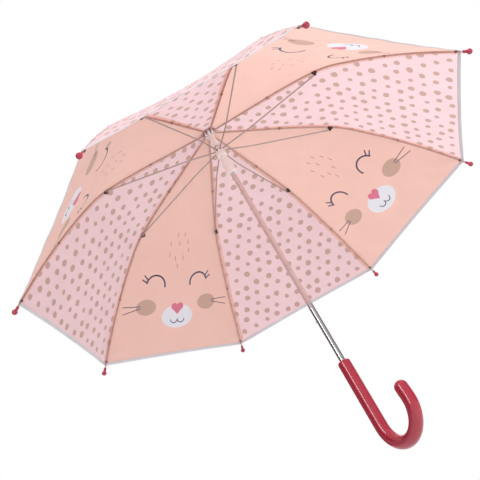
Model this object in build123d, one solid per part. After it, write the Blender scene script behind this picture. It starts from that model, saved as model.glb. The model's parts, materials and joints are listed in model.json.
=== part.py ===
from build123d import *
import math
import os

# A child's stick umbrella, standing open and upright, in millimetres.
# The origin is the middle of the handle's straight grip, +Z runs up the shaft to the ferrule,
# and the hook of the handle opens toward +X.

# ------------------------------------------------------------------ driving dimensions
RIBS = 8
FIRST_RIB = -60.0            # azimuth of rib 1, degrees from +X
STEP_AZ = 360.0 / RIBS
HALF_GORE = STEP_AZ / 2

SHAFT_R, SHAFT_WALL = 4.0, 0.6
SHAFT_Z = (10.0, 515.0)
PAST = 1.0                   # how far a cutting shape runs past what it cuts

CROWN_Z = 487.0              # level of the crown's tie wire, which every rib turns on
CROWN_DOWN, CROWN_UP = 5.0, 3.2
CROWN_R, CROWN_SLEEVE_R, CROWN_SLEEVE = 9.0, 5.3, 25.0
CROWN_EDGE = 0.6

TIE_RING_R, TIE_WIRE_R = 6.5, 0.45
TIE_GROOVE = 1.2             # height of the groove that a tie wire lies in
TIE_GROOVE_FLOOR = 5.85
EYE_R, EYE_THICK, EYE_HOLE_R = 1.45, 1.6, 0.6
SLOT_FLOOR = 4.9             # radius where the slots for the eyes end

RUNNER_PIVOT_Z = 447.0
RUNNER_BORE_R = 4.08
FLANGE_Z, FLANGE_R = (435.4, 452.0), 8.0
NECK_Z, NECK_R = (421.0, 435.4), 6.0
COLLAR_Z, COLLAR_R = (398.0, 421.0), 8.2
RUNNER_SLOT_FLOOR_Z = 444.0
KEYWAY_R, KEYWAY_WIDE = 5.75, 2.6
WINDOW_Z = (422.6, 433.8)
RUNNER_EDGE = 0.8

RIB_R, STRETCHER_R = 1.2, 1.05
RIB_SLOT, STRETCHER_SLOT = 2.8, 2.4
# the open rib's centre line as (radius, height above the crown's tie wire)
RIB_INNER = [(TIE_RING_R, 0.0), (60.0, -15.2), (100.0, -26.0), (140.0, -37.2), (192.0, -55.3)]
RIB_OUTER = [(235.0, -81.0), (275.0, -113.0), (325.0, -159.5)]
TIP = (370.0, -207.0)
TIP_DIRECTION = (1.0, -1.05)
FLEX_AHEAD = 5.0             # the rib's bending point, past the clip
FLEX_BEAD_R, FLEX_GAP = 1.3, 1.5

CLIP_LONG, CLIP_SHEET, CLIP_GAP = 8.0, 0.6, 0.05
CLIP_RISE = 0.7              # how far the clip's cheeks rise beside the wire's middle
PIVOT_BELOW = 2.6            # the stretcher's pivot, below the rib's centre line
EAR_R, EAR_HOLE_R = 2.2, 0.95
PIN_CUT = (-5.0, 5.0)        # a cutting bar across a wire's eye or a clip's ears
STRETCHER_ASIDE = 3.3        # the stretcher runs this far beside the rib's plane
STRETCHER_JOG = 0.3          # share of its length in which it bends aside, next to the runner
END_EYE_R, END_EYE_THICK = 2.0, 1.4
RIVET_R, RIVET_HEAD_R, RIVET_HEAD = 0.9, 1.5, 0.5
RIVET_FROM = 2.1

BALL_R, TIP_NECK_R, TIP_NECK = 3.9, 2.1, 9.0
TIP_MOUTH_R, TIP_MOUTH = 1.7, 1.0
TIP_BORE_R, WIRE_IN_BALL, TIP_STRAIGHT = 1.22, 1.0, 12.0
TIP_BORE_PAST = 0.1

CLOTH = 0.25
CLOTH_ABOVE_RIB = 1.6        # from the rib's centre line to the cloth's inner face
CLOTH_HOLE_R, CLOTH_FLAT_R, CLOTH_APEX_Z = 4.3, 9.4, 3.5
CLOTH_JOINS_RIB, CLOTH_END = 34.0, 363.0
CLOTH_GAP = 0.1              # to the middle of each gore, so two neighbours clear each other
CLOTH_STEPS = (9, 12)        # points taken along the rib's inner and outer line

CAP_R, CAP_THICK, CAP_DROP = 12.0, 0.8, 0.9
CAP_GAP = 0.15               # from the cloth to the washer that covers its middle
FERRULE_R, FERRULE_SKIRT_R, FERRULE_SKIRT = 5.5, 8.0, 6.0
FERRULE_TOP = 532.0
FERRULE_RIM = 1.2            # height of the skirt's straight edge
FERRULE_DOME = 0.9 * FERRULE_R

CATCH_AZ = 232.5
CATCH_LEVELS = {"upper_catch": (428.0, -1), "lower_catch": (118.0, 1)}
CATCH_WIDE, CATCH_STRIP = 1.6, (1.0, 1.8)
CATCH_BELOW, CATCH_ABOVE = 16.0, 6.0
CATCH_NOSE_R, CATCH_NOSE_HALF = 5.5, 2.8
CATCH_NOSE_TIP, CATCH_NOSE_ROOT = 0.9, 0.2
CATCH_PIN_R, CATCH_PIN_HOLE_R, CATCH_PIN_HALF = 0.5, 0.6, 3.65
CATCH_SLOT_WIDE, CATCH_SLOT_MORE = 2.2, 0.9

GRIP_R, GRIP_TOP, GRIP_BOTTOM = 8.75, 50.0, -48.0
HOOK_R, HOOK_SWEEP, HOOK_END = 36.0, 184.0, 13.0
GRIP_EDGE = 3.0


# ------------------------------------------------------------------ helpers
def azimuth(number):
    return FIRST_RIB + (number - 1) * STEP_AZ


def turned(shape, angle):
    return Rot(0, 0, angle) * shape


def tube(r, low, high, bore=0.0):
    upright = (Align.CENTER, Align.CENTER, Align.MIN)
    solid = Pos(0, 0, low) * Cylinder(r, high - low, align=upright)
    if bore:
        solid -= Pos(0, 0, low - PAST) * Cylinder(bore, high - low + 2 * PAST, align=upright)
    return solid


def block(x, y, z):
    """A box from its low and high along each axis."""
    corner = (Align.MIN, Align.MIN, Align.MIN)
    return Pos(x[0], y[0], z[0]) * Box(x[1] - x[0], y[1] - y[0], z[1] - z[0], align=corner)


def pin_across(r, y, x, z):
    """A round bar along Y, from y[0] to y[1]."""
    return Pos(x, y[0], z) * Rot(-90, 0, 0) * Cylinder(
        r, y[1] - y[0], align=(Align.CENTER, Align.CENTER, Align.MIN))


def in_plane(point):
    """(radius, height above the crown's tie wire) as a point of the XZ plane."""
    return Vector(point[0], 0, CROWN_Z + point[1])


def unit(x, z):
    return Vector(x, 0, z).normalized()


def swept(r, *lines):
    """A round bar along lines that run on from each other."""
    path = Wire([edge for line in lines for edge in line.edges()])
    return sweep(Plane(origin=path @ 0, z_dir=path % 0) * Circle(r), path=path)


def upward(direction):
    """The direction square to one in the XZ plane, on its upper side."""
    return Vector(-direction.Z, 0, direction.X)


def one(shape):
    """The single solid of a shape."""
    solids = shape.solids()
    assert len(solids) == 1, len(solids)
    return solids[0]


def save(node, shape):
    shape = one(shape)
    assert shape.is_valid, node
    shape.label = node
    export_step(shape, os.path.join("parts", node + ".step"))


# ------------------------------------------------------------------ the rib's line
inner_line = Spline(*[in_plane(p) for p in RIB_INNER])
clip_way = inner_line % 1
clip_at = inner_line @ 1
flex_at = clip_at + clip_way * FLEX_AHEAD
tip_at = in_plane(TIP)
tip_way = unit(*TIP_DIRECTION)
straight_from = tip_at - tip_way * TIP_STRAIGHT
outer_line = Spline(
    flex_at, *[in_plane(p) for p in RIB_OUTER], straight_from, tangents=[clip_way, tip_way])
rivet_at = clip_at - upward(clip_way) * PIVOT_BELOW


# ------------------------------------------------------------------ shaft, crown, ferrule
def shaft_tube():
    shape = tube(SHAFT_R, *SHAFT_Z, bore=SHAFT_R - SHAFT_WALL)
    for level, _ in CATCH_LEVELS.values():
        reach = CATCH_NOSE_HALF + CATCH_SLOT_MORE
        half = CATCH_SLOT_WIDE / 2
        slot = block((0, SHAFT_R + PAST), (-half, half), (level - reach, level + reach))
        middle = sum(CATCH_STRIP) / 2
        bar = (-SHAFT_R - PAST, SHAFT_R + PAST)
        holes = pin_across(CATCH_PIN_HOLE_R, bar, middle, level - CATCH_BELOW)
        shape -= turned(slot + holes, CATCH_AZ)
    return shape


def tie_groove(outer_r, z):
    half = TIE_GROOVE / 2
    return tube(outer_r + PAST, z - half, z + half) - tube(TIE_GROOVE_FLOOR, z - half, z + half)


def crown():
    z = CROWN_Z
    shape = tube(CROWN_R, z - CROWN_DOWN, z + CROWN_UP)
    shape = chamfer(shape.edges().filter_by(GeomType.CIRCLE), CROWN_EDGE)
    foot = z - CROWN_DOWN - CROWN_SLEEVE
    shape += tube(CROWN_SLEEVE_R, foot, z - CROWN_DOWN)
    shape -= tube(SHAFT_R, foot - PAST, z + CROWN_UP + PAST)
    shape -= tie_groove(CROWN_R, z)
    half = RIB_SLOT / 2
    slot = block((SLOT_FLOOR, CROWN_R + PAST), (-half, half), (z - CROWN_DOWN, z + CROWN_UP + PAST))
    for number in range(1, RIBS + 1):
        shape -= turned(slot, azimuth(number))
    return shape


def tie_wire(z):
    return Pos(0, 0, z) * Torus(TIE_RING_R, TIE_WIRE_R)


def ferrule(bottom):
    rim, waist, shoulder = bottom + FERRULE_RIM, bottom + FERRULE_SKIRT, FERRULE_TOP - FERRULE_DOME
    outline = [
        Line((0, bottom), (FERRULE_SKIRT_R, bottom)),
        Line((FERRULE_SKIRT_R, bottom), (FERRULE_SKIRT_R, rim)),
        Spline((FERRULE_SKIRT_R, rim), (FERRULE_R, waist), tangents=[(-0.7, 0.5), (0, 1)]),
        Line((FERRULE_R, waist), (FERRULE_R, shoulder)),
        Spline((FERRULE_R, shoulder), (0, FERRULE_TOP), tangents=[(0, 1), (-1, 0)]),
        Line((0, FERRULE_TOP), (0, bottom)),
    ]
    face = Plane.XZ * make_face(Wire(outline))
    return revolve(face, Axis.Z) - tube(SHAFT_R, bottom - PAST, SHAFT_Z[1])


def canopy_cap(bottom):
    """The round washer that closes the cloth's middle, under the ferrule."""
    edge = bottom - CAP_DROP
    outline = Polyline(
        (SHAFT_R, bottom), (CLOTH_FLAT_R, bottom), (CAP_R, edge), (CAP_R, edge + CAP_THICK),
        (CLOTH_FLAT_R, bottom + CAP_THICK), (SHAFT_R, bottom + CAP_THICK), close=True)
    return revolve(Plane.XZ * make_face(outline), Axis.Z)


# ------------------------------------------------------------------ runner
def runner():
    shape = tube(FLANGE_R, *FLANGE_Z) + tube(COLLAR_R, *COLLAR_Z)
    shape = fillet(shape.edges().filter_by(GeomType.CIRCLE), RUNNER_EDGE)
    shape += tube(NECK_R, NECK_Z[0] - PAST, NECK_Z[1] + PAST)
    through = (COLLAR_Z[0] - PAST, FLANGE_Z[1] + PAST)
    shape -= tube(RUNNER_BORE_R, *through)
    shape -= tie_groove(FLANGE_R, RUNNER_PIVOT_Z)
    half = STRETCHER_SLOT / 2
    slot = block((SLOT_FLOOR, FLANGE_R + PAST), (-half, half), (RUNNER_SLOT_FLOOR_Z, through[1]))
    for number in range(1, RIBS + 1):
        shape -= turned(slot, azimuth(number))
    half = KEYWAY_WIDE / 2
    keyway = block((0, KEYWAY_R), (-half, half), through)
    window = block((0, NECK_R + PAST), (-half, half), WINDOW_Z)
    return shape - turned(keyway + window, CATCH_AZ)


def catch(level, side):
    """A sprung strip inside the shaft. Its nose stands out through the slot, square on one side."""
    low, high = CATCH_STRIP
    half = CATCH_WIDE / 2
    foot, top = level - CATCH_BELOW, level + CATCH_ABOVE
    strip = block((low, high), (-half, half), (foot, top))
    square, sloped = level - side * CATCH_NOSE_HALF, level + side * CATCH_NOSE_HALF
    root = high - CATCH_NOSE_ROOT
    nose = Polyline(
        (root, square), (CATCH_NOSE_R, square),
        (CATCH_NOSE_R, square + side * CATCH_NOSE_TIP), (root, sloped), close=True)
    nose = extrude(Plane.XZ * make_face(nose), amount=half, both=True)
    pin = pin_across(CATCH_PIN_R, (-CATCH_PIN_HALF, CATCH_PIN_HALF), (low + high) / 2, foot)
    return turned(strip + nose + pin, CATCH_AZ)


# ------------------------------------------------------------------ handle
def handle():
    centre = Vector(HOOK_R, 0, GRIP_BOTTOM)
    round_to = [math.radians(180 + HOOK_SWEEP * share) for share in (0.5, 1)]
    middle, end = [centre + Vector(math.cos(a), 0, math.sin(a)) * HOOK_R for a in round_to]
    arc = ThreePointArc((0, 0, GRIP_BOTTOM), middle, end)
    last = Line(end, end + (arc % 1) * HOOK_END)
    grip = tube(GRIP_R, GRIP_BOTTOM, GRIP_TOP)
    grip = fillet(grip.edges().sort_by(Axis.Z)[-1], GRIP_EDGE)
    shape = grip + swept(GRIP_R, arc, last)
    shape += Pos(*(last @ 1)) * Sphere(GRIP_R)
    return shape - tube(SHAFT_R, SHAFT_Z[0], GRIP_TOP + PAST)


# ------------------------------------------------------------------ frame of one rib, at azimuth 0
def eye(x, z, r=EYE_R, y=(-EYE_THICK / 2, EYE_THICK / 2)):
    return pin_across(r, y, x, z)


def rib_inner():
    """Spring-steel wire from its eye on the crown's tie wire to just short of the bending point."""
    past = flex_at - clip_way * FLEX_GAP
    shape = swept(RIB_R, inner_line, Line(clip_at, past)) + eye(TIE_RING_R, CROWN_Z)
    return shape - pin_across(EYE_HOLE_R, PIN_CUT, TIE_RING_R, CROWN_Z)


def rib_outer():
    end = Line(straight_from, tip_at - tip_way * WIRE_IN_BALL)
    bead = Plane(origin=flex_at, x_dir=(0, 1, 0), z_dir=clip_way).location * Sphere(FLEX_BEAD_R)
    return swept(RIB_R, outer_line, end) + bead


def rib_clip():
    """A folded sheet saddle crimped under the wire, with two ears for the stretcher's rivet."""
    frame = Plane(origin=clip_at, x_dir=clip_way, z_dir=upward(clip_way))
    inside = RIB_R + CLIP_GAP
    outside = inside + CLIP_SHEET
    half = CLIP_LONG / 2
    saddle = block((-half, half), (-outside, outside), (-outside, CLIP_RISE))
    saddle += pin_across(EAR_R, (-outside, outside), 0, -PIVOT_BELOW)
    long, foot = (-half - PAST, half + PAST), -PIVOT_BELOW - EAR_R - PAST
    saddle -= block(long, (-inside, inside), (-inside, CLIP_RISE + PAST))
    saddle -= block(long, (-inside, inside), (foot, -outside))
    saddle -= pin_across(EAR_HOLE_R, PIN_CUT, 0, -PIVOT_BELOW)
    return frame.location * saddle


def rib_tip():
    """A ball on a short neck, bored for the wire's end."""
    outline = Polyline((0, -TIP_NECK), (TIP_MOUTH_R, -TIP_NECK),
                       (TIP_NECK_R, -TIP_NECK + TIP_MOUTH), (TIP_NECK_R, 0), (0, 0), close=True)
    neck = revolve(Plane.XZ * make_face(outline), Axis.Z)
    shape = neck + Sphere(BALL_R) - tube(TIP_BORE_R, -TIP_NECK - PAST, -WIRE_IN_BALL + TIP_BORE_PAST)
    return Plane(origin=tip_at, x_dir=(0, 1, 0), z_dir=tip_way).location * shape


def stretcher():
    """Wire from its eye on the runner's tie wire to a riveted eye beside the rib.

    It leaves the runner in the rib's plane, bends aside, and runs straight on beside that plane.
    """
    start = Vector(TIE_RING_R, 0, RUNNER_PIVOT_Z)
    below = Vector(rivet_at.X, 0, rivet_at.Z)
    way = (below - start).normalized()
    aside = Vector(0, STRETCHER_ASIDE, 0)
    bent, end = start + (below - start) * STRETCHER_JOG + aside, below + aside
    shape = swept(STRETCHER_R, Spline(start, bent, tangents=[way, way]), Line(bent, end))
    near, far = STRETCHER_ASIDE - END_EYE_THICK / 2, STRETCHER_ASIDE + END_EYE_THICK / 2
    shape += eye(start.X, start.Z) + eye(end.X, end.Z, END_EYE_R, (near, far))
    shape -= pin_across(EYE_HOLE_R, PIN_CUT, start.X, start.Z)
    shape += pin_across(RIVET_R, (RIVET_FROM, far), end.X, end.Z)
    return shape + pin_across(RIVET_HEAD_R, (far, far + RIVET_HEAD), end.X, end.Z)


def cloth_profile(lift):
    """The cloth over a rib as (radius, z) points, lift above its inner face."""
    points = []
    for line, steps in ((inner_line, CLOTH_STEPS[0]), (outer_line, CLOTH_STEPS[1])):
        for k in range(steps):
            share = k / steps
            at, way = line @ share, line % share
            points.append(at + upward(way) * (CLOTH_ABOVE_RIB + lift))
    points.append(straight_from + upward(tip_way) * (CLOTH_ABOVE_RIB + lift))
    points = [(p.X, p.Z) for p in points if CLOTH_JOINS_RIB < p.X < CLOTH_END]
    apex = CROWN_Z + CLOTH_APEX_Z + lift
    return [(CLOTH_HOLE_R, apex), (CLOTH_FLAT_R, apex)], points


def canopy_piece():
    """The cloth over one rib, out to the middle of the gore on each side, creased along the rib.

    Each gore is straight across, so its cloth is one profile pushed sideways and cut to a wedge.
    """
    lean = math.cos(math.radians(HALF_GORE))
    rims = []
    for lift in (0.0, CLOTH):
        flat, curve = cloth_profile(lift)
        flat = [(x * lean, z) for x, z in flat]
        curve = [(x * lean, z) for x, z in curve]
        rims.append((flat, curve))
    (flat_low, curve_low), (flat_high, curve_high) = rims
    edges = [
        Polyline(*flat_low, curve_low[0]), Spline(*curve_low), Line(curve_low[-1], curve_high[-1]),
        Spline(*curve_high[::-1]), Polyline(curve_high[0], *flat_high[::-1]),
        Line(flat_high[0], flat_low[0]),
    ]
    face = Plane.XZ * make_face(Wire([e for part in edges for e in part.edges()]))
    reach = CLOTH_END * math.tan(math.radians(HALF_GORE)) + PAST
    gore = extrude(face, amount=reach, both=True)
    # the half gore on the rib's +Y side: from the rib's plane to just short of the gore's middle
    gore = turned(gore, HALF_GORE)
    far = 2 * CLOTH_END
    side = make_face(Polyline((0, 0), (far, 0), (far, far), close=True))
    cut = turned(block((0, far), (-CLOTH_GAP, far), (0, 2 * CROWN_Z)), HALF_GORE)
    half = (gore & extrude(side, amount=2 * CROWN_Z)) - cut
    return half + mirror(half, about=Plane.XZ)


# ------------------------------------------------------------------ build
os.makedirs("parts", exist_ok=True)

cap_bottom = CROWN_Z + CLOTH_APEX_Z + CLOTH + CAP_GAP
save("shaft_tube", shaft_tube())
save("crown", crown())
save("crown_tie_wire", tie_wire(CROWN_Z))
save("canopy_cap", canopy_cap(cap_bottom))
save("ferrule", ferrule(cap_bottom + CAP_THICK))
save("handle", handle())
save("runner", runner())
save("runner_tie_wire", tie_wire(RUNNER_PIVOT_Z))
for name, (level, side) in CATCH_LEVELS.items():
    save(name, catch(level, side))

per_rib = {
    "rib_inner": rib_inner(), "rib_outer": rib_outer(), "rib_clip": rib_clip(),
    "rib_tip": rib_tip(), "stretcher": stretcher(), "canopy": canopy_piece(),
}
for name, shape in per_rib.items():
    for number in range(1, RIBS + 1):
        save(f"{name}_{number}", turned(one(shape), azimuth(number)))
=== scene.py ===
import json
import math

import bpy
import numpy as np
from mathutils import Matrix, Vector

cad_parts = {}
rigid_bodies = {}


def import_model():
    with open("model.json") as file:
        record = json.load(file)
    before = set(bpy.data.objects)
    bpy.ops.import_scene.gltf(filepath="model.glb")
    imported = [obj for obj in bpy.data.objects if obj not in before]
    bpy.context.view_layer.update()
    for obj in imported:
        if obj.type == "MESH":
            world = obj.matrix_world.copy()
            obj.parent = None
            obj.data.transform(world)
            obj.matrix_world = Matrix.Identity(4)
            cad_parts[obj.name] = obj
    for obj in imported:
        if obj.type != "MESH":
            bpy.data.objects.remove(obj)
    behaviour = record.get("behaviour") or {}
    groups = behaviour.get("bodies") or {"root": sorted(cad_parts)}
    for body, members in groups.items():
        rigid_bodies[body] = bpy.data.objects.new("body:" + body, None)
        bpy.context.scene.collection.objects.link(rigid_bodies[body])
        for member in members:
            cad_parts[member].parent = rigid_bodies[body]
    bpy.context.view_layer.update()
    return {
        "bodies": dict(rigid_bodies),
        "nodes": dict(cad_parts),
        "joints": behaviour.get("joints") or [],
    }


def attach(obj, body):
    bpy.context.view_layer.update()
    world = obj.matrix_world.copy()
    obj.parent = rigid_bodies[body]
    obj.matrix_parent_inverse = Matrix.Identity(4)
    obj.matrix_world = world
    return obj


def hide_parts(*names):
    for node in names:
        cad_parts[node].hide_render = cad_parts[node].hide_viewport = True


# A child's stick umbrella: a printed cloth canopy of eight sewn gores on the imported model's ribs, in metres.
# The origin is the middle of the grip and +Z runs up the shaft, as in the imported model.

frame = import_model()

MM = 0.001
RIBS = 8
FIRST_RIB = math.radians(-60)
STEP = 2 * math.pi / RIBS
CROWN_LEVEL = 487 * MM

# ------------------------------------------------------------------ the cloth's sizes
# the open rib's centre line as (radius, height above the crown's tie wire), in millimetres
RIB_LINE = [(6.5, 0.0), (60.0, -15.2), (100.0, -26.0), (140.0, -37.2), (192.0, -55.3), (196.6, -57.2),
            (235.0, -81.0), (275.0, -113.0), (325.0, -159.5), (361.7, -198.3)]
RIB_END_WAY = (1.0, -1.05)
CLOTH_ABOVE_RIB = 1.72 * MM
CLOTH_HOLE, CLOTH_FLAT, CLOTH_APEX = 4.3 * MM, 9.4 * MM, 3.62 * MM
CLOTH_JOINS_RIB, CLOTH_END = 34 * MM, 362.8 * MM
FLEX_RADIUS, FLEX_REACH = 196.6 * MM, 8 * MM
ROOT_FROM, ROOT_TO = 6 * MM, 14 * MM
ROWS, COLUMNS = 104, 56

DIP = 5.0 * MM             # how far the middle of a gore is drawn in by the pull along it
DIP_LOW, DIP_BROAD = 1.6, 0.8    # powers that set how far down the gore that is deepest, and how broad
DIP_AT_HEM = 0.25          # the share of it added toward the hem
HEM_PULL, HEM_PULL_NEAR = 2.2 * MM, 6    # how far the middle of the hem is drawn up, and how near the hem
SEAM_PUCKER, PUCKER_PITCH, PUCKER_REACH = 0.22 * MM, 13 * MM, 7 * MM
PUCKER_SHIFT = 5           # radians between the puckers of a gore's two seams
CORNER_FOLD, CORNER_REACH, CORNER_WAVES = 0.55 * MM, 34 * MM, 7
CORNER_EDGE = 0.1 * MM     # the least height above the hem at which a corner's fold is turned
SLACK, SLACK_FINE = 0.5 * MM, 0.6    # height of the loose cloth's waves, and the share of the finer ones
SLACK_DOWN, SLACK_SIDEWAYS, SLACK_CROSS, SLACK_PHASE = 21, 4, 9, 2.0
FINE_SIDEWAYS, FINE_DOWN = 34, 11

BINDING, BINDING_LIFT, BINDING_EDGE = 4.6 * MM, 0.3 * MM, 0.5 * MM
BINDING_ENDS = 0.006       # the share of the gore's width left free at each end of its ribbon
SEAM_WIDE, SEAM_LIFT = 6.4 * MM, 0.16 * MM
SEAM_FROM, SEAM_TRIM, SEAM_FULL = 22 * MM, 0.4, 110 * MM    # trimmed narrower toward the crown
SEAM_ACROSS = (0.05, 0.25, 0.55, 0.8, 0.95, 1.0, 0.95)      # places across the strip, as shares of its width
SEAM_OFF = (0.7, 1.0, 1.0, 1.0, 1.1, 0.75, 0.4)             # how far it stands off there, in SEAM_LIFT
SEAM_RIPPLE, RIPPLE_REACH = 0.05 * MM, 4.5 * MM

WRAP_RADIUS = 62 * MM      # the shut cloth is wound round the ribs at about this radius
WRAP_GROWTH = 0.16         # the share of a fold's height that still stands outward once it is wound
WRAP_FROM, WRAP_TO = 0.80, 1.0    # shares of the runner's travel
GAP_ALLOWED = 2e-6         # how much the square of a gap may shrink before the cloth folds, in square metres


def placed(name, data):
    """A new object that holds data, put in the scene."""
    made = bpy.data.objects.new(name, data)
    bpy.context.scene.collection.objects.link(made)
    return made


# ------------------------------------------------------------------ node helpers
class Graph:
    """Adds nodes to a tree. An input is a number, a colour, a vector, a socket or a Value."""

    def __init__(self, tree):
        self.tree = tree

    def put(self, socket, value):
        value = getattr(value, "socket", value)
        if isinstance(value, bpy.types.NodeSocket):
            self.tree.links.new(value, socket)
        else:
            socket.default_value = value

    def node(self, kind, inputs=None, **settings):
        made = self.tree.nodes.new(kind)
        for name, value in settings.items():
            setattr(made, name, value)
        for key, value in (inputs or {}).items():
            self.put(made.inputs[key], value)
        return made

    def math(self, operation, *values, clamp=False):
        made = self.node("ShaderNodeMath", dict(enumerate(values)), operation=operation, use_clamp=clamp)
        return Value(self, made.outputs[0])

    def vector_math(self, operation, *values, out="Vector"):
        made = self.node("ShaderNodeVectorMath", dict(enumerate(values)), operation=operation)
        return made.outputs[out]

    def scaled(self, vector, factor):
        return self.node("ShaderNodeVectorMath", {0: vector, "Scale": factor},
                         operation="SCALE").outputs["Vector"]

    def between(self, a, b, share):
        """The vector a moved that share of the way to b."""
        return self.vector_math("ADD", a, self.scaled(self.vector_math("SUBTRACT", b, a), share))

    def ramp(self, value, low, high):
        """0 below low, 1 above high, smooth between them."""
        made = self.node("ShaderNodeMapRange", {"Value": value, "From Min": low, "From Max": high},
                         interpolation_type="SMOOTHSTEP")
        return Value(self, made.outputs["Result"])

    def mixed(self, share, a, b):
        """The colour a with b laid over it by that share."""
        made = self.node("ShaderNodeMix", {"Factor": share, 6: a, 7: b}, data_type="RGBA")
        return made.outputs[2]

    def noise(self, vector, scale, detail=2.0, roughness=0.5):
        made = self.node("ShaderNodeTexNoise", {"Vector": vector, "Scale": scale, "Detail": detail,
                                                "Roughness": roughness})
        return Value(self, made.outputs[0])


class Value:
    """A number in a node tree, with Python's operators."""

    def __init__(self, graph, socket):
        self.graph, self.socket = graph, socket

    def __add__(self, other):
        return self.graph.math("ADD", self, other)

    def __sub__(self, other):
        return self.graph.math("SUBTRACT", self, other)

    def __rsub__(self, other):
        return self.graph.math("SUBTRACT", other, self)

    def __mul__(self, other):
        return self.graph.math("MULTIPLY", self, other)

    def __truediv__(self, other):
        return self.graph.math("DIVIDE", self, other)

    def sine(self):
        return self.graph.math("SINE", self)

    def absolute(self):
        return self.graph.math("ABSOLUTE", self)

    def root(self):
        return self.graph.math("SQRT", self)

    def clamped(self):
        return self.graph.math("ADD", self, 0.0, clamp=True)

    def lower(self, other):
        return self.graph.math("MINIMUM", self, other)

    def higher(self, other):
        return self.graph.math("MAXIMUM", self, other)


def length_of(x, y):
    return (x * x + y * y).root()


# ------------------------------------------------------------------ the cloth's line along a rib
def cubic_through(points, end_way, steps=60):
    """A smooth line through points, free at its start and headed along end_way at its end."""
    p = np.array(points, float)
    h = np.linalg.norm(np.diff(p, axis=0), axis=1)
    slope = np.diff(p, axis=0) / h[:, None]
    count = len(p)
    left, right = np.zeros((count, count)), np.zeros((count, 2))
    left[0, :2], right[0] = (2, 1), 3 * slope[0]
    for i in range(1, count - 1):
        left[i, i - 1:i + 2] = h[i], 2 * (h[i - 1] + h[i]), h[i - 1]
        right[i] = 3 * (h[i] * slope[i - 1] + h[i - 1] * slope[i])
    left[-1, -1], right[-1] = 1, np.array(end_way) / np.linalg.norm(end_way)
    way = np.linalg.solve(left, right)
    t = np.linspace(0, 1, steps, endpoint=False)[:, None]
    spans = []
    for i in range(count - 1):
        spans.append((2 * t**3 - 3 * t**2 + 1) * p[i] + (t**3 - 2 * t**2 + t) * h[i] * way[i]
                     + (3 * t**2 - 2 * t**3) * p[i + 1] + (t**3 - t**2) * h[i] * way[i + 1])
    return np.vstack([*spans, p[-1:]])


def crease_line():
    """The cloth over a rib as dense (radius, z) points, from the hole in its middle to the hem."""
    rib = cubic_through(RIB_LINE, RIB_END_WAY) * MM + (0, CROWN_LEVEL)
    way = np.gradient(rib, axis=0)
    way /= np.linalg.norm(way, axis=1)[:, None]
    over = rib + np.stack([-way[:, 1], way[:, 0]], 1) * CLOTH_ABOVE_RIB
    over = over[over[:, 0] > CLOTH_JOINS_RIB]
    last = over[-1] + way[-1] * (CLOTH_END - over[-1, 0]) / way[-1, 0]
    apex = CROWN_LEVEL + CLOTH_APEX
    return np.vstack([[(CLOTH_HOLE, apex), (CLOTH_FLAT, apex)], over, [last]])


class Profile:
    """A line in the rib's plane, asked for by the distance along it."""

    def __init__(self, line):
        self.along = np.r_[0, np.cumsum(np.linalg.norm(np.diff(line, axis=0), axis=1))]
        self.line = line
        self.length = self.along[-1]

    def at(self, distance):
        inside = np.clip(distance, 0, self.length)
        point = np.stack([np.interp(inside, self.along, self.line[:, k]) for k in range(2)], -1)
        return point + (np.asarray(distance) - inside)[..., None] * self.way(inside)

    def way(self, distance):
        step = 1 * MM
        low, high = np.clip(distance - step, 0, self.length), np.clip(distance + step, 0, self.length)
        ends = [np.stack([np.interp(s, self.along, self.line[:, k]) for k in range(2)], -1)
                for s in (low, high)]
        way = ends[1] - ends[0]
        return way / np.linalg.norm(way, axis=-1)[..., None]


def middle_length(crease, samples=800):
    """Distance along a gore's middle for distance along its ribs: (both as arrays)."""
    along = np.linspace(0, crease.length, samples)
    point = crease.at(along) * (math.cos(STEP / 2), 1)
    return along, np.r_[0, np.cumsum(np.linalg.norm(np.diff(point, axis=0), axis=1))]


CREASE = Profile(crease_line())
ALONG_RIB, ALONG_MIDDLE = middle_length(CREASE)


def smooth_share(x, low, high):
    t = np.clip((x - low) / (high - low), 0, 1)
    return t * t * (3 - 2 * t)


def azimuth(rib):
    return FIRST_RIB + (rib - 1) * STEP


def next_rib(rib):
    return rib % RIBS + 1


def around(angle):
    return np.array([math.cos(angle), math.sin(angle), 0.0])


# ------------------------------------------------------------------ the cloth's surface
def cloth_lift(along, across, wide):
    """How far the cloth stands off the straight line between its ribs, outward positive."""
    share = along / CREASE.length
    bow = 4 * across * (1 - across)
    draw = -DIP * bow * np.sin(np.pi * np.clip(share, 0, 1) ** DIP_LOW) ** DIP_BROAD
    draw = draw - DIP_AT_HEM * DIP * bow * share**3
    from_rib = np.minimum(across, 1 - across) * wide
    near = from_rib / PUCKER_REACH * np.exp(1 - from_rib / PUCKER_REACH)
    shift = PUCKER_SHIFT * (across > 0.5)
    pucker = SEAM_PUCKER * near * np.sin(2 * np.pi * along / PUCKER_PITCH + shift) * share
    up_from_hem = CREASE.length - along
    reach = np.hypot(from_rib, up_from_hem) / CORNER_REACH
    turn = np.arctan2(from_rib, np.maximum(up_from_hem, CORNER_EDGE))
    corner = CORNER_FOLD * reach * np.exp(1 - reach) * np.sin(CORNER_WAVES * turn)
    waves = np.sin(SLACK_DOWN * share + SLACK_SIDEWAYS * across) * np.sin(SLACK_CROSS * across + SLACK_PHASE)
    fine = SLACK_FINE * np.sin(FINE_SIDEWAYS * across + FINE_DOWN * share)
    slack = SLACK * bow * share * (waves + fine)
    return draw + pucker + corner + slack


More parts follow.
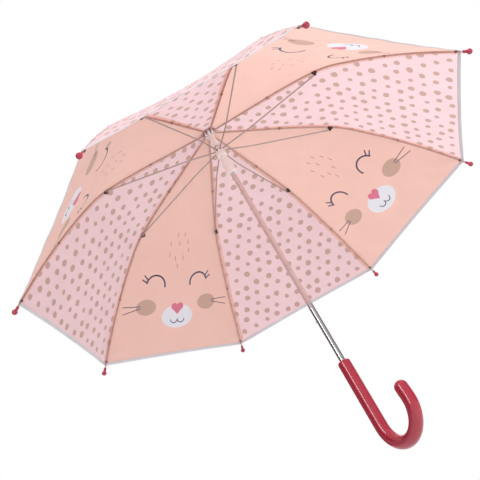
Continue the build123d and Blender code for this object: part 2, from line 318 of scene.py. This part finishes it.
def cloth_points(gore, along, across, off=0.0):
    """Points of a gore, and what it takes to move them with the ribs.

    along is the distance down the rib from the middle of the canopy, across runs from 0 on the gore's
    first rib to 1 on the next, and off is how far the point stands off the cloth's face.
    """
    along, across, off = np.broadcast_arrays(along, across, off)
    bow = 4 * across * (1 - across)
    row = along - HEM_PULL * bow * np.clip(along / CREASE.length, 0, 1) ** HEM_PULL_NEAR
    rim = CREASE.at(row)
    first, second = around(azimuth(gore)), around(azimuth(gore) + STEP)
    middle = around(azimuth(gore) + STEP / 2)
    up = np.array([0, 0, 1.0])
    ends = [rim[..., :1] * side + rim[..., 1:] * up for side in (first, second)]
    wide = 2 * rim[..., 0] * math.sin(STEP / 2)
    way = CREASE.way(row)
    lean = math.cos(STEP / 2)
    normal = -way[..., 1:] * middle + way[..., :1] * lean * up
    normal /= np.linalg.norm(normal, axis=-1)[..., None]
    stand = (cloth_lift(row, across, wide) + off)[..., None] * normal
    chord = ends[0] * (1 - across[..., None]) + ends[1] * across[..., None]
    return {
        "co": chord + stand,
        "left": ends[0] + stand,
        "right": ends[1] + stand,
        "across": across,
        "outer": smooth_share(rim[..., 0], FLEX_RADIUS - FLEX_REACH, FLEX_RADIUS + FLEX_REACH),
        "moving": smooth_share(rim[..., 0], ROOT_FROM, ROOT_TO),
        "uv": np.stack([(across - 0.5) * wide, np.interp(row, ALONG_RIB, ALONG_MIDDLE)], -1),
    }


def cloth_grid(name, gore, along, across, off=0.0, uv=None):
    """A mesh object over a grid of places on a gore, set to follow the gore's ribs."""
    parts = cloth_points(gore, along, across, off)
    rows, columns = parts["across"].shape
    if uv is not None:
        parts["uv"] = uv
    index = np.arange(rows * columns).reshape(rows, columns)
    faces = np.stack([index[:-1, :-1], index[1:, :-1], index[1:, 1:], index[:-1, 1:]], -1).reshape(-1, 4)
    mesh = bpy.data.meshes.new(name)
    mesh.from_pydata(parts["co"].reshape(-1, 3).tolist(), [], faces.tolist())
    for key, kind in (("left", "FLOAT_VECTOR"), ("right", "FLOAT_VECTOR"), ("across", "FLOAT"),
                      ("outer", "FLOAT"), ("moving", "FLOAT")):
        layer = mesh.attributes.new(key, kind, "POINT")
        field = "vector" if kind == "FLOAT_VECTOR" else "value"
        layer.data.foreach_set(field, parts[key].astype(np.float32).ravel())
    layer = mesh.uv_layers.new(name="cloth")
    corner = np.zeros(len(mesh.loops), np.int32)
    mesh.loops.foreach_get("vertex_index", corner)
    layer.data.foreach_set("uv", parts["uv"].reshape(-1, 2)[corner].astype(np.float32).ravel())
    mesh.polygons.foreach_set("use_smooth", np.ones(len(mesh.polygons), bool))
    piece = placed(name, mesh)
    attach(piece, "umbrella_shaft")
    modifier = piece.modifiers.new("follow_ribs", "NODES")
    modifier.node_group = follow_ribs(gore)
    return piece


# ------------------------------------------------------------------ how the cloth follows the ribs
def follow_ribs(gore):
    """Geometry nodes that carry a gore's cloth with its two ribs, and fold and wind the spare width.

    With every body at rest each point stays where the mesh has it. Each point hangs between its row's
    place on one rib and on the next. Where those come closer than the cloth is wide, the cloth stands
    out between the ribs as one fold, and as the runner nears its end the fold winds round the shaft.
    """
    name = f"follow_ribs_{gore}"
    if name in bpy.data.node_groups:
        return bpy.data.node_groups[name]
    tree = bpy.data.node_groups.new(name, "GeometryNodeTree")
    tree.interface.new_socket("Geometry", in_out="INPUT", socket_type="NodeSocketGeometry")
    tree.interface.new_socket("Geometry", in_out="OUTPUT", socket_type="NodeSocketGeometry")
    g = Graph(tree)

    def stored(key, kind):
        made = g.node("GeometryNodeInputNamedAttribute", {"Name": key}, data_type=kind)
        return next(s for s in made.outputs if s.enabled and s.name == "Attribute")

    def body(key, out):
        return g.node("GeometryNodeObjectInfo", {"Object": frame["bodies"][key]},
                      transform_space="RELATIVE").outputs[out]

    def on_body(key, name):
        point = {"Vector": stored(key, "FLOAT_VECTOR"), "Transform": body(name, "Transform")}
        return g.node("FunctionNodeTransformPoint", point).outputs[0]

    def carried(key, rib):
        inner, outer = on_body(key, f"rib_inner_{rib}"), on_body(key, f"rib_outer_{rib}")
        return g.between(inner, outer, stored("outer", "FLOAT"))

    left, right = carried("left", gore), carried("right", next_rib(gore))
    across = Value(g, stored("across", "FLOAT"))

    def square_gap(a, b):
        gap = g.vector_math("SUBTRACT", b, a)
        return Value(g, g.vector_math("DOT_PRODUCT", gap, gap, out="Value"))

    cut = square_gap(stored("left", "FLOAT_VECTOR"), stored("right", "FLOAT_VECTOR"))
    spare = (cut - square_gap(left, right) - GAP_ALLOWED).higher(0.0)
    fold = (1.0 - (across * 2.0 - 1.0).absolute()) * spare.root() * 0.5
    slid = g.node("ShaderNodeSeparateXYZ", {0: body("runner", "Location")}).outputs["Z"]
    travel = next(j for j in frame["joints"] if j["name"] == "runner_slide")["range_m"][1]
    wound = g.ramp(Value(g, slid) / -travel, WRAP_FROM, WRAP_TO)
    outward = Vector(around(azimuth(gore) + STEP / 2))
    climb = fold * (1.0 - wound * (1.0 - WRAP_GROWTH))
    stood = g.vector_math("ADD", g.between(left, right, across), g.scaled(outward, climb))
    turned = g.node("ShaderNodeVectorRotate", {"Vector": stood, "Angle": fold * wound / WRAP_RADIUS},
                    rotation_type="Z_AXIS").outputs[0]
    still = g.node("GeometryNodeInputPosition").outputs[0]
    place = g.between(still, turned, stored("moving", "FLOAT"))
    entry, leave = g.node("NodeGroupInput"), g.node("NodeGroupOutput")
    moved = g.node("GeometryNodeSetPosition", {"Geometry": entry.outputs[0], "Position": place})
    tree.links.new(moved.outputs[0], leave.inputs[0])
    return tree


# ------------------------------------------------------------------ colours and materials
def srgb(red, green, blue):
    """A colour given as 0 to 255 on screen, as a shader takes it."""
    parts = [c / 255 for c in (red, green, blue)]
    return (*[c / 12.92 if c <= 0.04045 else ((c + 0.055) / 1.055) ** 2.4 for c in parts], 1.0)


PEACH, PINK = srgb(246, 202, 190), srgb(246, 214, 219)
DOT, CHEEK = srgb(204, 169, 159), srgb(205, 170, 154)
LINE, FRECKLE = srgb(84, 80, 104), srgb(196, 150, 140)
MUZZLE, NOSE = srgb(234, 234, 242), srgb(224, 124, 148)
PRINT_EDGE = 0.5           # millimetres over which a printed edge fades

# the print of the face, in millimetres: sideways from the gore's middle, and down from the top
EYE = [(26.0, 277.5), (43.0, 256.0), (60.0, 269.5)]
EYE_WIDE = 3.0
LASHES = [((58.0, 262.5), (63.5, 255.5)), ((60.0, 267.5), (67.5, 262.5))]
LASH_WIDE = 2.3
CHEEK_AT, CHEEK_SIZE = (61.0, 310.0), (19.0, 13.5)
WHISKERS = [((72.0, 307.6), (104.0, 306.4)), ((72.0, 310.8), (104.0, 318.4))]
WHISKER_WIDE = 1.3
MUZZLE_AT, MUZZLE_SIZE = (0.0, 330.0), (31.0, 20.5)
NOSE_LOBE, NOSE_LOBE_R, NOSE_POINT = (5.6, 313.0), 6.2, 327.0
NOSE_SLOPE = math.radians(47)
MOUTH = [(0.0, 334.5), (7.0, 341.5), (13.5, 335.0)]
MOUTH_WIDE = 1.7
FRECKLES = [(5, 186), (-8.5, 186), (17, 201.5), (0, 202), (-17, 199.5), (-19.5, 215), (17.6, 222),
            (6.4, 228.4), (-8.8, 228), (2.3, 242)]
FRECKLE_LONG, FRECKLE_WIDE = 6.5, 1.5
DOT_PITCH, DOT_ROW, DOT_STRAY = 21.5, 18.6, 3.0
DOT_SIZES, DOT_UNEVEN, DOT_WANDER = (3.6, 5.4), 1.6, 0.16


class Print:
    """Flat shapes over (u, v) in millimetres. Each gives 1 inside and 0 outside."""

    def __init__(self, graph, u, v):
        self.graph, self.u, self.v = graph, u, v
        self.side = u.absolute()

    def ink(self, distance):
        return (0.5 - distance / PRINT_EDGE).clamped()

    def oval(self, at, size):
        x, y = (self.side - at[0]) / size[0], (self.v - at[1]) / size[1]
        return self.ink((length_of(x, y) - 1.0) * min(size))

    def bar(self, u, start, end, wide):
        """A straight stroke with round ends."""
        way = np.subtract(end, start)
        x, y = u - start[0], self.v - start[1]
        share = ((x * float(way[0]) + y * float(way[1])) / float(way @ way)).clamped()
        gap = length_of(x - share * float(way[0]), y - share * float(way[1]))
        return self.ink(gap - wide / 2)

    def arc(self, points, wide):
        """A stroke on the circle through three points, from the first to the last."""
        a, b, c = (np.array(p) for p in points)
        both = 2 * np.array([b - a, c - a])
        centre = np.linalg.solve(both, [b @ b - a @ a, c @ c - a @ a])
        across = np.array([-(c - a)[1], (c - a)[0]]) / np.linalg.norm(c - a)
        across *= math.copysign(1, (b - a) @ across)
        x, y = self.side - float(centre[0]), self.v - float(centre[1])
        ring = (length_of(x, y) - float(np.linalg.norm(a - centre))).absolute() - wide / 2
        beyond = float(a @ across) - (self.side * float(across[0]) + self.v * float(across[1]))
        return self.ink(ring.higher(beyond))

    def heart(self):
        x, y = self.side - NOSE_LOBE[0], self.v - NOSE_LOBE[1]
        lobe = length_of(x, y) - NOSE_LOBE_R
        slope = (self.side * math.sin(NOSE_SLOPE) + (self.v - NOSE_POINT) * math.cos(NOSE_SLOPE))
        point = slope.higher(NOSE_LOBE[1] - self.v)
        return self.ink(lobe.lower(point))


def face_print(graph, ground, u, v):
    """A sleeping animal's face: shut eyes, cheeks with whiskers, a muzzle and a tuft on its forehead."""
    shapes = Print(graph, u, v)
    colour = graph.mixed(shapes.oval(CHEEK_AT, CHEEK_SIZE), ground, CHEEK)
    colour = graph.mixed(shapes.oval(MUZZLE_AT, MUZZLE_SIZE), colour, MUZZLE)
    colour = graph.mixed(shapes.heart(), colour, NOSE)
    lines = shapes.arc(EYE, EYE_WIDE).higher(shapes.arc(MOUTH, MOUTH_WIDE))
    for strokes, wide in ((LASHES, LASH_WIDE), (WHISKERS, WHISKER_WIDE)):
        for start, end in strokes:
            lines = lines.higher(shapes.bar(shapes.side, start, end, wide))
    colour = graph.mixed(lines, colour, LINE)
    tuft = None
    for x, y in FRECKLES:
        half = FRECKLE_LONG / 2
        mark = shapes.bar(u, (x, y - half), (x, y + half), FRECKLE_WIDE)
        tuft = mark if tuft is None else tuft.higher(mark)
    return graph.mixed(tuft, colour, FRECKLE)


def dot_print(graph, ground, u, v):
    """Dots in staggered rows, each strayed a little from its place, of its own size and uneven outline."""
    down = v / DOT_ROW
    row = graph.math("FLOOR", down)
    over = u / DOT_PITCH + row * 0.5
    column = graph.math("FLOOR", over)
    cell = graph.node("ShaderNodeCombineXYZ", {0: column, 1: row}).outputs[0]
    chance = graph.node("ShaderNodeTexWhiteNoise", {"Vector": cell}, noise_dimensions="2D").outputs["Color"]
    draws = graph.node("ShaderNodeSeparateColor", {0: chance}).outputs
    stray_x, stray_y, share = [Value(graph, draw) for draw in draws]
    x = (over - column - 0.5) * DOT_PITCH + (stray_x - 0.5) * (2 * DOT_STRAY)
    y = (down - row - 0.5) * DOT_ROW + (stray_y - 0.5) * (2 * DOT_STRAY)
    place = graph.node("ShaderNodeCombineXYZ", {0: u, 1: v}).outputs[0]
    uneven = (graph.noise(place, DOT_WANDER, 0.0) - 0.5) * DOT_UNEVEN
    size = share * (DOT_SIZES[1] - DOT_SIZES[0]) + DOT_SIZES[0] + uneven
    return graph.mixed((0.5 - (length_of(x, y) - size) / PRINT_EDGE).clamped(), ground, DOT)


def new_material(name):
    material = bpy.data.materials.new(name)
    material.use_nodes = True
    material.node_tree.nodes.clear()
    graph = Graph(material.node_tree)
    surface = graph.node("ShaderNodeBsdfPrincipled")
    leave = graph.node("ShaderNodeOutputMaterial")
    material.node_tree.links.new(surface.outputs[0], leave.inputs["Surface"])
    return material, graph, surface, leave


def bump(graph, surface, height, depth, strength=1.0):
    made = graph.node("ShaderNodeBump", {"Height": height, "Distance": depth, "Strength": strength})
    graph.put(surface.inputs["Normal"], made.outputs[0])
    return made.outputs[0]


WEAVE_PITCH = 0.42         # millimetres
WEAVE_SHADE, MOTTLE_SHADE, STREAK_SHADE = 0.02, 0.10, 0.05


def cloth_material(name, tint, printed=None, through=0.4):
    """Thin woven polyester. The print takes the weave, and light comes through from the other side."""
    material, g, surface, leave = new_material(name)
    place = g.node("ShaderNodeUVMap", uv_map="cloth").outputs[0]
    axes = g.node("ShaderNodeSeparateXYZ", {0: place}).outputs
    u, v = Value(g, axes[0]) * 1000.0, Value(g, axes[1]) * 1000.0
    turns = 2 * math.pi / WEAVE_PITCH
    weave = (u * turns).sine() * (v * turns).sine()
    mottle = g.noise(place, scale=22.0, detail=3.0, roughness=0.55)
    streak = g.noise(g.vector_math("MULTIPLY", place, (900.0, 40.0, 1.0)), scale=1.0, detail=1.0)
    plain = 1 - (MOTTLE_SHADE + STREAK_SHADE) / 2
    shade = weave * WEAVE_SHADE + mottle * MOTTLE_SHADE + streak * STREAK_SHADE + plain
    shades = g.node("ShaderNodeCombineXYZ", {0: shade, 1: shade, 2: shade}).outputs[0]
    ground = g.vector_math("MULTIPLY", tint[:3], shades)
    colour = printed(g, ground, u, v) if printed else ground
    g.put(surface.inputs["Base Color"], colour)
    g.put(surface.inputs["Roughness"], mottle * 0.15 + 0.55)
    surface.inputs["Sheen Weight"].default_value = 0.25
    surface.inputs["Sheen Roughness"].default_value = 0.45
    surface.inputs["Specular IOR Level"].default_value = 0.3
    normal = bump(g, surface, weave * 0.5 + mottle * 0.6, 0.06 * MM)
    glow = g.node("ShaderNodeBsdfTranslucent", {"Color": colour, "Normal": normal})
    both = g.node("ShaderNodeMixShader", {0: through, 1: surface.outputs[0], 2: glow.outputs[0]})
    g.put(leave.inputs["Surface"], both.outputs[0])
    return material


RIBBON_RIB = 0.55          # the ribbon and its stitches, in millimetres
STITCH_PITCH, STITCH_IN, STITCH_HALF, STITCH_EDGE = 2.6, 1.2, 0.28, 0.2


def binding_material():
    """Grey-lilac ribbon folded over the hem, with a row of stitches near its inner edge."""
    material, g, surface, leave = new_material("hem_ribbon")
    axes = g.node("ShaderNodeSeparateXYZ", {0: g.node("ShaderNodeUVMap", uv_map="cloth").outputs[0]}).outputs
    along, deep = Value(g, axes[0]) * 1000.0, Value(g, axes[1]) * 1000.0
    ribs = (along * (2 * math.pi / RIBBON_RIB)).sine()
    stitch_at = BINDING / MM - STITCH_IN
    beat = (along * (2 * math.pi / STITCH_PITCH)).sine()
    row = (0.5 - ((deep.absolute() - stitch_at).absolute() - STITCH_HALF) / STITCH_EDGE).clamped()
    stitch = row * (beat * 3.0 + 1.2).clamped()
    mottle = g.noise(g.node("ShaderNodeTexCoord").outputs["Object"], scale=60.0)
    ribbon = g.mixed(mottle, srgb(207, 206, 213), srgb(222, 221, 226))
    g.put(surface.inputs["Base Color"], g.mixed(stitch, ribbon, srgb(232, 216, 218)))
    g.put(surface.inputs["Roughness"], mottle * 0.2 + 0.35)
    surface.inputs["Sheen Weight"].default_value = 0.2
    bump(g, surface, ribs * 0.25 + stitch * 1.6, 0.12 * MM)
    return material


def thread_material():
    material, g, surface, _ = new_material("brown_thread")
    place = g.node("ShaderNodeTexCoord").outputs["Object"]
    twist = g.noise(place, scale=2500.0, detail=1.0)
    g.put(surface.inputs["Base Color"], g.mixed(twist, srgb(96, 62, 58), srgb(150, 104, 96)))
    g.put(surface.inputs["Roughness"], twist * 0.2 + 0.6)
    surface.inputs["Sheen Weight"].default_value = 0.3
    bump(g, surface, twist, 0.05 * MM)
    return material


DRAWN, EVEN = (260.0, 260.0, 14.0), (300.0, 300.0, 300.0)    # how fine a metal's grain is along x, y and z


def metal_material(name, tint, rough, spread, streaks=EVEN, wear=0.12):
    """Bright metal with faint lines or grain, small smudges and slightly duller patches."""
    material, g, surface, _ = new_material(name)
    place = g.node("ShaderNodeTexCoord").outputs["Object"]
    lines = g.noise(g.vector_math("MULTIPLY", place, streaks), scale=1.0, roughness=0.6)
    smudge = g.noise(place, scale=38.0, detail=3.0, roughness=0.6)
    dark = tuple(c * (1 - wear) for c in tint[:3]) + (1.0,)
    g.put(surface.inputs["Base Color"], g.mixed(smudge, dark, tint))
    surface.inputs["Metallic"].default_value = 1.0
    g.put(surface.inputs["Roughness"], smudge * spread + lines * spread * 0.5 + rough)
    bump(g, surface, lines, 0.004 * MM, 0.5)
    return material


PARTING_HALF = 0.18 * MM


def plastic_material(name, tint, rough, coat=0.0, inside=0.0, parting=False):
    """Moulded plastic with a faintly uneven skin, and a parting line where asked for."""
    material, g, surface, _ = new_material(name)
    place = g.node("ShaderNodeTexCoord").outputs["Object"]
    skin = g.noise(place, scale=420.0)
    scuff = g.noise(place, scale=75.0, detail=4.0, roughness=0.62)
    shade = tuple(c * 0.94 for c in tint[:3]) + (1.0,)
    g.put(surface.inputs["Base Color"], g.mixed(scuff, shade, tint))
    g.put(surface.inputs["Roughness"], g.ramp(scuff, 0.45, 0.75) * 0.10 + rough)
    surface.inputs["Coat Weight"].default_value = coat
    surface.inputs["Coat Roughness"].default_value = 0.04
    surface.inputs["Subsurface Weight"].default_value = inside
    surface.inputs["Subsurface Scale"].default_value = 3 * MM
    height = skin * 0.06
    if parting:
        side = Value(g, g.node("ShaderNodeSeparateXYZ", {0: place}).outputs[1]).absolute()
        height = height + (1.0 - side / PARTING_HALF).clamped() * 0.8
    bump(g, surface, height, 0.03 * MM)
    return material


# ------------------------------------------------------------------ the canopy's pieces
def gore(number, material):
    along = np.linspace(0, CREASE.length, ROWS)[:, None]
    across = np.linspace(0, 1, COLUMNS)[None, :]
    piece = cloth_grid(f"gore_{number}", number, along, across)
    piece.data.materials.append(material)
    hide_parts(f"canopy_{number}")
    return piece


def hem_binding(number, material):
    """Ribbon folded over the gore's hem: down the outside, round the edge, and back inside."""
    outside = [(BINDING, 0.8), (0.5 * BINDING, 1.0), (0.1 * BINDING, 1.0), (-0.7 * BINDING_EDGE, 0.55)]
    inside = [(depth, -off) for depth, off in reversed(outside)]
    section = [*outside, (-BINDING_EDGE, 0.0), *inside]
    depth = np.array([d for d, _ in section])[:, None]
    off = np.array([o for _, o in section])[:, None] * BINDING_LIFT
    across = np.linspace(BINDING_ENDS, 1 - BINDING_ENDS, COLUMNS)[None, :]
    wide = 2 * CLOTH_END * math.sin(STEP / 2)
    face = np.broadcast_arrays(across * wide, np.sign(off) * depth)
    piece = cloth_grid(f"hem_binding_{number}", number, CREASE.length - depth, across, off,
                       uv=np.stack(face, -1))
    piece.data.materials.append(material)
    return piece


def seam_allowance(number, rib, material):
    """The sewn edges of two gores, pressed to one side of a rib under the cloth."""
    along = np.linspace(SEAM_FROM, CREASE.length - BINDING, ROWS)[:, None]
    wide = 2 * CREASE.at(along)[..., 0] * math.sin(STEP / 2)
    trimmed = SEAM_TRIM + (1 - SEAM_TRIM) * smooth_share(along, SEAM_FROM, SEAM_FULL)
    aside = np.array(SEAM_ACROSS)[None, :] * SEAM_WIDE * trimmed
    off = -np.array(SEAM_OFF)[None, :] * SEAM_LIFT
    ripple = SEAM_RIPPLE * np.sin(along / RIPPLE_REACH) * (aside / SEAM_WIDE) ** 2
    share = aside / wide
    across = share if rib == number else 1 - share
    piece = cloth_grid(f"seam_allowance_{rib}", number, along, across, off - ripple)
    piece.data.materials.append(material)
    return piece


THREAD_R, THREAD_SIDES = 0.22 * MM, 7
SLANT = (0.31, 0.17, 0.94)    # a slanted direction to measure a thread's sides from


def thread_mesh(name, line, material):
    """A round thread along a line of points."""
    line = np.array(line, float)
    way = np.gradient(line, axis=0)
    way /= np.linalg.norm(way, axis=1)[:, None]
    side = np.cross(way, SLANT)
    side /= np.linalg.norm(side, axis=1)[:, None]
    other = np.cross(way, side)
    turn = np.linspace(0, 2 * np.pi, THREAD_SIDES, endpoint=False)
    rings = (line[:, None] + THREAD_R * (np.cos(turn)[None, :, None] * side[:, None]
                                         + np.sin(turn)[None, :, None] * other[:, None]))
    index = np.arange(rings.shape[0] * THREAD_SIDES).reshape(-1, THREAD_SIDES)
    faces = np.stack([index[:-1], index[1:], np.roll(index, -1, 1)[1:], np.roll(index, -1, 1)[:-1]], -1)
    ends = [index[0].tolist(), index[-1][::-1].tolist()]
    mesh = bpy.data.meshes.new(name)
    mesh.from_pydata(rings.reshape(-1, 3).tolist(), [], faces.reshape(-1, 4).tolist() + ends)
    mesh.polygons.foreach_set("use_smooth", np.ones(len(mesh.polygons), bool))
    mesh.materials.append(material)
    return placed(name, mesh)


TIES = {"a": (112 * MM, "rib_inner"), "b": (285 * MM, "rib_outer")}
TIE_TURNS, TIE_PITCH, TIE_WIDE, TIE_TALL = 3.5, 0.5 * MM, 1.5 * MM, 1.85 * MM
TIE_RISE = 0.3 * MM        # how far a tie's middle is above the rib's
COIL_STEPS = 20            # points in one turn
TIP_COIL_R, TIP_COIL_TURNS, TIP_COIL_PITCH = 1.75 * MM, 6.5, 0.46 * MM
TIP_COIL_AT = 358.4 * MM


def coil(name, rib, start, turns, pitch, wide, tall, sink, material):
    """A thread wound round a rib's wire, sunk below the cloth's face, start away from the shaft."""
    along = np.interp(start, CREASE.line[:, 0], CREASE.along)
    at, way = CREASE.at(np.array([along]))[0], CREASE.way(np.array([along]))[0]
    out, up = around(azimuth(rib)), np.array([0, 0, 1.0])
    ahead = way[0] * out + way[1] * up
    over = -way[1] * out + way[0] * up
    side = np.cross(ahead, over)
    middle = at[0] * out + at[1] * up - over * sink
    turn = np.linspace(0, 2 * np.pi * turns, int(turns * COIL_STEPS))
    line = [middle + side * wide * math.cos(t) + over * tall * math.sin(t)
            + ahead * pitch * (t / (2 * np.pi) - turns / 2) for t in turn]
    return thread_mesh(name, line, material)


def threads(rib, material):
    """Stitches that tie the cloth to a rib in two places, and a coil at the tip."""
    for key, (start, body) in TIES.items():
        piece = coil(f"rib_tie_{rib}{key}", rib, start, TIE_TURNS, TIE_PITCH, TIE_WIDE, TIE_TALL,
                     CLOTH_ABOVE_RIB - TIE_RISE, material)
        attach(piece, f"{body}_{rib}")
    piece = coil(f"tip_thread_{rib}", rib, TIP_COIL_AT, TIP_COIL_TURNS, TIP_COIL_PITCH, TIP_COIL_R,
                 TIP_COIL_R, CLOTH_ABOVE_RIB, material)
    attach(piece, f"rib_outer_{rib}")


def canopy():
    """Eight gores, by turns with dots and with the face, their hem, seams and threads."""
    dotted = cloth_material("dotted_cloth", PINK, dot_print)
    faced = cloth_material("face_cloth", PEACH, face_print)
    # the seam cloth is cut from the peach fabric but given a lighter colour: painted light that offsets the
    # shade between the two layers beside the rib
    seam = cloth_material("seam_cloth_painted_light", srgb(255, 228, 216), through=0.72)
    ribbon, thread = binding_material(), thread_material()
    for number in range(1, RIBS + 1):
        has_dots = number % 2 == 1
        piece = gore(number, dotted if has_dots else faced)
        with_it = [hem_binding(number, ribbon)]
        if has_dots:
            with_it += [seam_allowance(number, rib, seam) for rib in (number, next_rib(number))]
        low, high = CREASE.at(np.array([CREASE.length]))[0, 0] * 2 * math.sin(STEP / 2), ALONG_MIDDLE[-1]
        f"rib_outer_{next_rib(number)}"
        threads(number, thread)


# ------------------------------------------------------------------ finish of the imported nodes
def finish_nodes():
    chrome = metal_material("chromed_tube", srgb(222, 214, 216), rough=0.04, spread=0.05,
                            streaks=DRAWN, wear=0.05)
    # the rib wire's tint is steel darkened and warmed: painted shade from the seam it lies in, and a painted
    # reflection of the pink cloth
    wire = metal_material("rib_wire", srgb(202, 174, 164), rough=0.18, spread=0.12)
    brace = metal_material("stretcher_wire", srgb(184, 172, 170), rough=0.14, spread=0.12)
    dark = metal_material("dark_steel", srgb(96, 84, 84), rough=0.30, spread=0.2, wear=0.3)
    plain = metal_material("bare_steel", srgb(190, 186, 184), rough=0.22, spread=0.2)
    red = plastic_material("grip_red", srgb(166, 22, 50), rough=0.30, coat=0.9, parting=True)
    rose = plastic_material("tip_raspberry", srgb(178, 42, 74), rough=0.25, coat=0.4)
    milky = plastic_material("milky_nylon", srgb(250, 246, 244), rough=0.32, inside=0.08)
    looks = {"shaft_tube": chrome, "crown": milky, "runner": milky, "handle": red, "ferrule": rose,
             "canopy_cap": rose, "crown_tie_wire": plain, "runner_tie_wire": plain,
             "upper_catch": plain, "lower_catch": plain}
    for rib in range(1, RIBS + 1):
        looks.update({f"rib_inner_{rib}": wire, f"rib_outer_{rib}": wire, f"stretcher_{rib}": brace,
                      f"rib_clip_{rib}": dark, f"rib_tip_{rib}": rose})
    for node, material in looks.items():
        mesh = frame["nodes"][node].data
        mesh.materials.clear()
        mesh.materials.append(material)


# ------------------------------------------------------------------ floor, light and camera
CAMERA_AT = Vector((0.7641, -0.6139, -0.2855))
CAMERA_AHEAD = Vector((-0.69448, 0.51241, 0.50512))
CAMERA_RIGHT = Vector((0.31964, 0.84866, -0.42143))
CAMERA_LENS, SENSOR = 57.98, 36.0
FLOOR_LEVEL, FLOOR_SIZE = -1.0, 90.0
MIDDLE = Vector((0.0, 0.0, 0.33))    # what the lamp is turned to
# the sky's sides as azimuths and spreads in degrees, and its levels of grey
DIM_SIDE, DIM_SPREAD, DIM = 234, (10, 75), 0.66
DARK_SIDE, DARK_SPREAD, STUDIO, STUDIO_DARK = 164, (102, 124), 0.48, 0.03
# bright and grey strips that only shiny surfaces see: azimuth, half width and level
STRIPS = [(-59, 4, 8.0), (-25, 3, 1.4), (84, 8, 0.35), (144, 20, 0.9), (222, 8, 0.35)]


def grey(level):
    return (level, level, level, 1.0)


def floor():
    material, g, surface, _ = new_material("pale_floor")
    grain = g.noise(g.node("ShaderNodeTexCoord").outputs["Object"], scale=3.0, detail=4.0)
    g.put(surface.inputs["Base Color"], g.mixed(grain, srgb(236, 235, 235), srgb(244, 243, 243)))
    surface.inputs["Roughness"].default_value = 0.8
    half = FLOOR_SIZE / 2
    mesh = bpy.data.meshes.new("floor")
    corners = [(x, y, FLOOR_LEVEL) for x, y in ((-half, -half), (half, -half), (half, half), (-half, half))]
    mesh.from_pydata(corners, [], [(0, 1, 2, 3)])
    mesh.materials.append(material)
    plane = placed("floor", mesh)


def sky():
    """White to the camera. It lights surfaces more dimly from one side, and shiny ones see a grey studio."""
    world = bpy.data.worlds.new("studio")
    bpy.context.scene.world = world
    world.use_nodes = True
    g = Graph(world.node_tree)
    background = world.node_tree.nodes["Background"]
    axes = g.node("ShaderNodeSeparateXYZ", {0: g.node("ShaderNodeTexCoord").outputs["Generated"]}).outputs
    turn = g.math("ARCTAN2", axes[1], axes[0])
    rays = g.node("ShaderNodeLightPath").outputs

    def toward(degrees, inner, outer):
        """1 within inner degrees of an azimuth, fading to 0 at outer."""
        near = g.math("COSINE", turn - math.radians(degrees))
        return g.ramp(near, math.cos(math.radians(outer)), math.cos(math.radians(inner)))

    white = (1.0, 1.0, 1.0, 1.0)
    dim = g.mixed(toward(DIM_SIDE, *DIM_SPREAD), white, grey(DIM))
    shiny = g.mixed(toward(DARK_SIDE, *DARK_SPREAD), grey(STUDIO), grey(STUDIO_DARK))
    for degrees, half, level in STRIPS:
        shiny = g.mixed(toward(degrees, half, 2 * half), shiny, grey(level))
    seen = g.mixed(Value(g, rays["Is Diffuse Ray"]), white, dim)
    g.put(background.inputs["Color"], g.mixed(Value(g, rays["Is Glossy Ray"]), seen, shiny))
    background.inputs["Strength"].default_value = 1.0


def soft_light(name, direction, distance, size, power):
    """A round lamp turned to the umbrella, unseen in reflections."""
    lamp = bpy.data.lights.new(name, "AREA")
    lamp.shape, lamp.size, lamp.energy = "DISK", size, power
    stand = placed(name, lamp)
    way = Vector(direction).normalized()
    stand.location = MIDDLE + way * distance
    stand.visible_glossy = False
    stand.rotation_mode = "QUATERNION"
    stand.rotation_quaternion = way.to_track_quat("Z", "Y")


def camera():
    lens = bpy.data.cameras.new("camera")
    lens.lens, lens.sensor_width, lens.sensor_fit = CAMERA_LENS, SENSOR, "HORIZONTAL"
    lens.clip_start, lens.clip_end = 0.01, 50.0
    stand = placed("camera", lens)
    up = CAMERA_RIGHT.cross(CAMERA_AHEAD)
    turn = Matrix((CAMERA_RIGHT, up, -CAMERA_AHEAD)).transposed()
    stand.matrix_world = Matrix.Translation(CAMERA_AT) @ turn.to_4x4()
    bpy.context.scene.camera = stand


def studio():
    floor()
    sky()
    soft_light("key", direction=(0.92, 0.34, 0.35), distance=2.2, size=1.6, power=34.0)
    camera()
    bpy.context.scene.view_settings.view_transform = "Standard"


canopy()
finish_nodes()
studio()
